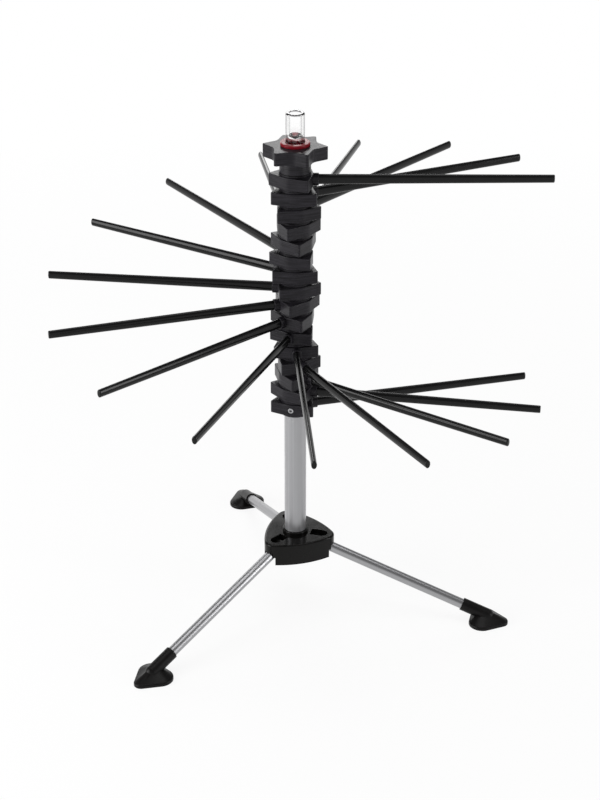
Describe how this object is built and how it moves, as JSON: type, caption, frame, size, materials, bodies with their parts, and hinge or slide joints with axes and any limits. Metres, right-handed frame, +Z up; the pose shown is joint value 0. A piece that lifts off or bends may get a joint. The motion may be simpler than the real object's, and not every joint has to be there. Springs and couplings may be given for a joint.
{
  "type": "pasta drying rack",
  "caption": "Tabletop pasta drying rack: stacked rings on a column fan rod arms out in a spiral, over folding tube legs with flat feet and a lift-out wand.",
  "frame": {"origin": "on the floor at the column's axis", "axes": "+Z up along the column, +X along the top arm, +Y to its left"},
  "size_m": [0.4193, 0.4163, 0.4585],
  "materials": {
    "moulded_plastic": "satin black moulded plastic",
    "arm_plastic": "polished black moulded plastic",
    "column_metal": "satin anodised aluminium tube",
    "leg_metal": "bright drawn aluminium tube",
    "red_plastic": "polished translucent red plastic",
    "clear_plastic": "clear polished plastic",
    "steel": "machined steel"
  },
  "bodies": {
    "root": {"column_tube": "column_metal", "tripod_hub": "moulded_plastic", "column_plug": "moulded_plastic", "column_screw": "steel", "leg_pivot_pins": "steel", "lock_screw": "steel", "top_bush": "red_plastic", "ring_16": "moulded_plastic", "arm_16": "arm_plastic"},
    "tier_15": {"ring_15": "moulded_plastic", "arm_15": "arm_plastic"},
    "tier_14": {"ring_14": "moulded_plastic", "arm_14": "arm_plastic"},
    "tier_13": {"ring_13": "moulded_plastic", "arm_13": "arm_plastic"},
    "tier_12": {"ring_12": "moulded_plastic", "arm_12": "arm_plastic"},
    "tier_11": {"ring_11": "moulded_plastic", "arm_11": "arm_plastic"},
    "tier_10": {"ring_10": "moulded_plastic", "arm_10": "arm_plastic"},
    "tier_09": {"ring_09": "moulded_plastic", "arm_09": "arm_plastic"},
    "tier_08": {"ring_08": "moulded_plastic", "arm_08": "arm_plastic"},
    "tier_07": {"ring_07": "moulded_plastic", "arm_07": "arm_plastic"},
    "tier_06": {"ring_06": "moulded_plastic", "arm_06": "arm_plastic"},
    "tier_05": {"ring_05": "moulded_plastic", "arm_05": "arm_plastic"},
    "tier_04": {"ring_04": "moulded_plastic", "arm_04": "arm_plastic"},
    "tier_03": {"ring_03": "moulded_plastic", "arm_03": "arm_plastic"},
    "tier_02": {"ring_02": "moulded_plastic", "arm_02": "arm_plastic"},
    "tier_01": {"ring_01": "moulded_plastic", "arm_01": "arm_plastic", "turning_knob": "moulded_plastic"},
    "wand": {"pickup_wand": "clear_plastic"},
    "leg_1": {"leg_1_knuckle": "moulded_plastic", "leg_1_tube": "leg_metal", "leg_1_foot": "moulded_plastic"},
    "leg_2": {"leg_2_knuckle": "moulded_plastic", "leg_2_tube": "leg_metal", "leg_2_foot": "moulded_plastic"},
    "leg_3": {"leg_3_knuckle": "moulded_plastic", "leg_3_tube": "leg_metal", "leg_3_foot": "moulded_plastic"}
  },
  "joints": [
    {"name": "fan_15", "type": "hinge", "parent": "root", "child": "tier_15", "pos_m": [0, 0, 0.21078], "axis": [0, 0, 1], "range_deg": [0, 25]},
    {"name": "fan_14", "type": "hinge", "parent": "tier_15", "child": "tier_14", "pos_m": [0, 0, 0.22446], "axis": [0, 0, 1], "range_deg": [0, 25]},
    {"name": "fan_13", "type": "hinge", "parent": "tier_14", "child": "tier_13", "pos_m": [0, 0, 0.23814], "axis": [0, 0, 1], "range_deg": [0, 25]},
    {"name": "fan_12", "type": "hinge", "parent": "tier_13", "child": "tier_12", "pos_m": [0, 0, 0.25182], "axis": [0, 0, 1], "range_deg": [0, 25]},
    {"name": "fan_11", "type": "hinge", "parent": "tier_12", "child": "tier_11", "pos_m": [0, 0, 0.2655], "axis": [0, 0, 1], "range_deg": [0, 25]},
    {"name": "fan_10", "type": "hinge", "parent": "tier_11", "child": "tier_10", "pos_m": [0, 0, 0.27918], "axis": [0, 0, 1], "range_deg": [0, 25]},
    {"name": "fan_09", "type": "hinge", "parent": "tier_10", "child": "tier_09", "pos_m": [0, 0, 0.29286], "axis": [0, 0, 1], "range_deg": [0, 25]},
    {"name": "fan_08", "type": "hinge", "parent": "tier_09", "child": "tier_08", "pos_m": [0, 0, 0.30654], "axis": [0, 0, 1], "range_deg": [0, 25]},
    {"name": "fan_07", "type": "hinge", "parent": "tier_08", "child": "tier_07", "pos_m": [0, 0, 0.32022], "axis": [0, 0, 1], "range_deg": [0, 25]},
    {"name": "fan_06", "type": "hinge", "parent": "tier_07", "child": "tier_06", "pos_m": [0, 0, 0.3339], "axis": [0, 0, 1], "range_deg": [0, 25]},
    {"name": "fan_05", "type": "hinge", "parent": "tier_06", "child": "tier_05", "pos_m": [0, 0, 0.34758], "axis": [0, 0, 1], "range_deg": [0, 25]},
    {"name": "fan_04", "type": "hinge", "parent": "tier_05", "child": "tier_04", "pos_m": [0, 0, 0.36126], "axis": [0, 0, 1], "range_deg": [0, 25]},
    {"name": "fan_03", "type": "hinge", "parent": "tier_04", "child": "tier_03", "pos_m": [0, 0, 0.37494], "axis": [0, 0, 1], "range_deg": [0, 25]},
    {"name": "fan_02", "type": "hinge", "parent": "tier_03", "child": "tier_02", "pos_m": [0, 0, 0.38862], "axis": [0, 0, 1], "range_deg": [0, 25]},
    {"name": "fan_01", "type": "hinge", "parent": "tier_02", "child": "tier_01", "pos_m": [0, 0, 0.4023], "axis": [0, 0, 1], "range_deg": [0, 25]},
    {"name": "wand_lift", "type": "slide", "parent": "root", "child": "wand", "axis": [0, 0, 1], "range_m": [0, 0.29]},
    {"name": "leg_1_fold", "type": "hinge", "parent": "root", "child": "leg_1", "pos_m": [0.01854, -0.00414, 0.06227], "axis": [0.2181, 0.9759, 0], "range_deg": [0, 66]},
    {"name": "leg_2_fold", "type": "hinge", "parent": "root", "child": "leg_2", "pos_m": [-0.00568, 0.01813, 0.06227], "axis": [-0.9542, -0.299, 0], "range_deg": [0, 66]},
    {"name": "leg_3_fold", "type": "hinge", "parent": "root", "child": "leg_3", "pos_m": [-0.01286, -0.01399, 0.06227], "axis": [0.7361, -0.6769, 0], "range_deg": [0, 66]}
  ]
}
